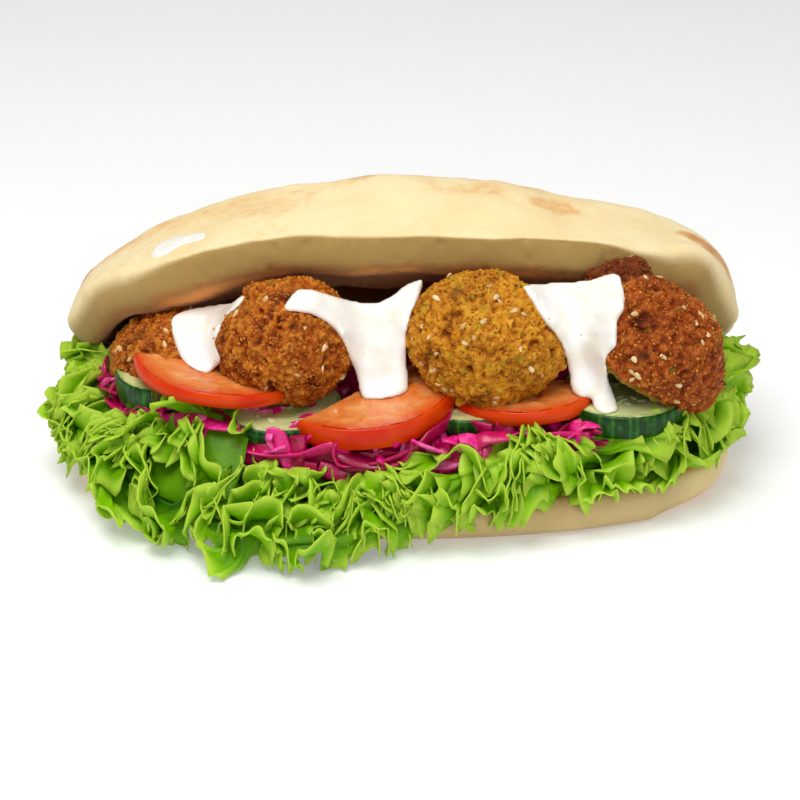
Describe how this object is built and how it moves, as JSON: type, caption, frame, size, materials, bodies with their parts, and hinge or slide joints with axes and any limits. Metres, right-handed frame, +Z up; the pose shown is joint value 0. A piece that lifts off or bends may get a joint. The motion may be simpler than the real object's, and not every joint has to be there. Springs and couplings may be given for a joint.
{
  "type": "falafel pita",
  "caption": "Oval flatbread folded round fried chickpea balls, curly lettuce, red cabbage, cucumber and tomato slices, with white sauce poured over.",
  "frame": {"origin": "middle of the bread's flat underside, on the surface the sandwich lies on", "axes": "+Z up; +X along the sandwich's length, to the viewer's right when looking into the mouth; the mouth faces -Y"},
  "size_m": [0.2249, 0.1401, 0.0893],
  "materials": {
    "crust": "matt floury crust, pale gold with browned patches",
    "falafel": "rough fried crumb, dry with a faint oil sheen",
    "tomato": "glossy wet skin and moist salmon flesh",
    "cucumber": "dark green waxy skin and pale moist flesh",
    "cabbage": "wet magenta shreds",
    "lettuce": "thin satin leaf, lighter at its frilled edge",
    "sauce": "creamy white, soft gloss"
  },
  "bodies": {
    "root": {"bread": "crust", "falafel_left": "falafel", "falafel_mid_left": "falafel", "falafel_mid_right": "falafel", "falafel_right": "falafel", "tomato_left": "tomato", "tomato_mid": "tomato", "tomato_right": "tomato", "cucumber_left": "cucumber", "cucumber_mid_left": "cucumber", "cucumber_mid_right": "cucumber", "cucumber_right": "cucumber", "sauce_left": "sauce", "sauce_mid": "sauce", "sauce_right": "sauce", "red_cabbage": "cabbage", "lettuce_left": "lettuce", "lettuce_front": "lettuce", "lettuce_right": "lettuce"}
  },
  "joints": []
}
